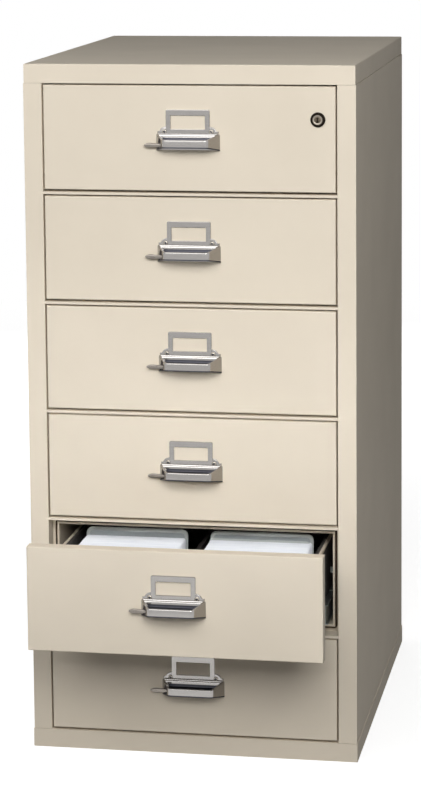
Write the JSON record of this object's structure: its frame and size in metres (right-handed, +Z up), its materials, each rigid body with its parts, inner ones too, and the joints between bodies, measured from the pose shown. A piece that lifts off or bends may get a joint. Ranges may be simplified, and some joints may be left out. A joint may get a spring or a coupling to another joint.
{
  "type": "insulated card filing cabinet",
  "caption": "Tall beige fire-insulated steel card filing cabinet with full-width drawers, chrome pulls with label frames, thumb latches and a lock; one drawer stands part open with cards in it.",
  "frame": {"origin": "on the floor, under the middle of the cabinet's body, with the open drawer left out", "axes": "+X to the right seen from the front, +Y towards the back (the drawers face -Y and open along -Y), +Z up"},
  "size_m": [0.6384, 1.0302, 1.34],
  "materials": {
    "beige_paint": "semi-gloss baked enamel",
    "liner_paint": "satin brown-beige enamel",
    "insulation": "dry cast mineral insulation",
    "tray_paint": "satin dark grey enamel",
    "chrome": "polished chrome plate",
    "bright_steel": "bright nickel plate",
    "zinc_steel": "zinc plated",
    "lock_black": "black enamel",
    "card": "plain white card"
  },
  "bodies": {
    "cabinet": {"top_cap": "beige_paint", "outer_wrap": "beige_paint", "base_pan": "beige_paint", "front_frame": "beige_paint", "insulation_body": "insulation", "compartment_liners": "liner_paint", "fixed_rails": "zinc_steel"},
    "drawer_1": {"drawer_1_head": "beige_paint", "drawer_1_insulation": "insulation", "drawer_1_tray": "tray_paint", "drawer_1_pull": "chrome", "drawer_1_pull_screws": "bright_steel", "drawer_1_runners": "zinc_steel", "lock_housing": "lock_black"},
    "slides_1": {"drawer_1_mid_rails": "zinc_steel"},
    "latch_1": {"drawer_1_thumb_latch": "chrome"},
    "drawer_2": {"drawer_2_head": "beige_paint", "drawer_2_insulation": "insulation", "drawer_2_tray": "tray_paint", "drawer_2_pull": "chrome", "drawer_2_pull_screws": "bright_steel", "drawer_2_runners": "zinc_steel"},
    "slides_2": {"drawer_2_mid_rails": "zinc_steel"},
    "latch_2": {"drawer_2_thumb_latch": "chrome"},
    "drawer_3": {"drawer_3_head": "beige_paint", "drawer_3_insulation": "insulation", "drawer_3_tray": "tray_paint", "drawer_3_pull": "chrome", "drawer_3_pull_screws": "bright_steel", "drawer_3_runners": "zinc_steel"},
    "slides_3": {"drawer_3_mid_rails": "zinc_steel"},
    "latch_3": {"drawer_3_thumb_latch": "chrome"},
    "drawer_4": {"drawer_4_head": "beige_paint", "drawer_4_insulation": "insulation", "drawer_4_tray": "tray_paint", "drawer_4_pull": "chrome", "drawer_4_pull_screws": "bright_steel", "drawer_4_runners": "zinc_steel"},
    "slides_4": {"drawer_4_mid_rails": "zinc_steel"},
    "latch_4": {"drawer_4_thumb_latch": "chrome"},
    "drawer_5": {"drawer_5_head": "beige_paint", "drawer_5_insulation": "insulation", "drawer_5_tray": "tray_paint", "drawer_5_pull": "chrome", "drawer_5_pull_screws": "bright_steel", "drawer_5_runners": "zinc_steel", "card_pack_left": "card", "card_pack_right": "card"},
    "slides_5": {"drawer_5_mid_rails": "zinc_steel"},
    "latch_5": {"drawer_5_thumb_latch": "chrome"},
    "drawer_6": {"drawer_6_head": "beige_paint", "drawer_6_insulation": "insulation", "drawer_6_tray": "tray_paint", "drawer_6_pull": "chrome", "drawer_6_pull_screws": "bright_steel", "drawer_6_runners": "zinc_steel"},
    "slides_6": {"drawer_6_mid_rails": "zinc_steel"},
    "latch_6": {"drawer_6_thumb_latch": "chrome"},
    "lock_plug": {"lock_plug": "bright_steel"},
    "lock_bar": {"lock_bar": "zinc_steel"}
  },
  "joints": [
    {"name": "drawer_1_slide", "type": "slide", "parent": "cabinet", "child": "drawer_1", "axis": [0, -1, 0], "range_m": [0, 0.62]},
    {"name": "slides_1_slide", "type": "slide", "parent": "cabinet", "child": "slides_1", "axis": [0, -1, 0], "range_m": [0, 0.31]},
    {"name": "latch_1_slide", "type": "slide", "parent": "drawer_1", "child": "latch_1", "axis": [1, 0, 0], "range_m": [0, 0.007], "stiffness_N_per_m": 400, "springref_m": -0.006},
    {"name": "drawer_2_slide", "type": "slide", "parent": "cabinet", "child": "drawer_2", "axis": [0, -1, 0], "range_m": [0, 0.62]},
    {"name": "slides_2_slide", "type": "slide", "parent": "cabinet", "child": "slides_2", "axis": [0, -1, 0], "range_m": [0, 0.31]},
    {"name": "latch_2_slide", "type": "slide", "parent": "drawer_2", "child": "latch_2", "axis": [1, 0, 0], "range_m": [0, 0.007], "stiffness_N_per_m": 400, "springref_m": -0.006},
    {"name": "drawer_3_slide", "type": "slide", "parent": "cabinet", "child": "drawer_3", "axis": [0, -1, 0], "range_m": [0, 0.62]},
    {"name": "slides_3_slide", "type": "slide", "parent": "cabinet", "child": "slides_3", "axis": [0, -1, 0], "range_m": [0, 0.31]},
    {"name": "latch_3_slide", "type": "slide", "parent": "drawer_3", "child": "latch_3", "axis": [1, 0, 0], "range_m": [0, 0.007], "stiffness_N_per_m": 400, "springref_m": -0.006},
    {"name": "drawer_4_slide", "type": "slide", "parent": "cabinet", "child": "drawer_4", "axis": [0, -1, 0], "range_m": [0, 0.62]},
    {"name": "slides_4_slide", "type": "slide", "parent": "cabinet", "child": "slides_4", "axis": [0, -1, 0], "range_m": [0, 0.31]},
    {"name": "latch_4_slide", "type": "slide", "parent": "drawer_4", "child": "latch_4", "axis": [1, 0, 0], "range_m": [0, 0.007], "stiffness_N_per_m": 400, "springref_m": -0.006},
    {"name": "drawer_5_slide", "type": "slide", "parent": "cabinet", "child": "drawer_5", "axis": [0, -1, 0], "range_m": [-0.19, 0.43]},
    {"name": "slides_5_slide", "type": "slide", "parent": "cabinet", "child": "slides_5", "axis": [0, -1, 0], "range_m": [-0.095, 0.215]},
    {"name": "latch_5_slide", "type": "slide", "parent": "drawer_5", "child": "latch_5", "axis": [1, 0, 0], "range_m": [0, 0.007], "stiffness_N_per_m": 400, "springref_m": -0.006},
    {"name": "drawer_6_slide", "type": "slide", "parent": "cabinet", "child": "drawer_6", "axis": [0, -1, 0], "range_m": [0, 0.62]},
    {"name": "slides_6_slide", "type": "slide", "parent": "cabinet", "child": "slides_6", "axis": [0, -1, 0], "range_m": [0, 0.31]},
    {"name": "latch_6_slide", "type": "slide", "parent": "drawer_6", "child": "latch_6", "axis": [1, 0, 0], "range_m": [0, 0.007], "stiffness_N_per_m": 400, "springref_m": -0.006},
    {"name": "lock_turn", "type": "hinge", "parent": "drawer_1", "child": "lock_plug", "pos_m": [0.2465, -0.401, 1.238], "axis": [0, -1, 0], "range_deg": [0, 90]},
    {"name": "lock_bar_lift", "type": "slide", "parent": "cabinet", "child": "lock_bar", "axis": [0, 0, 1], "range_m": [0, 0.012]}
  ],
  "couplings": [
    {"joint": "slides_1_slide", "follows": "drawer_1_slide", "ratio": 0.5},
    {"joint": "slides_2_slide", "follows": "drawer_2_slide", "ratio": 0.5},
    {"joint": "slides_3_slide", "follows": "drawer_3_slide", "ratio": 0.5},
    {"joint": "slides_4_slide", "follows": "drawer_4_slide", "ratio": 0.5},
    {"joint": "slides_5_slide", "follows": "drawer_5_slide", "ratio": 0.5},
    {"joint": "slides_6_slide", "follows": "drawer_6_slide", "ratio": 0.5},
    {"joint": "lock_turn", "follows": "lock_bar_lift", "rad_per_m": 130.9}
  ]
}
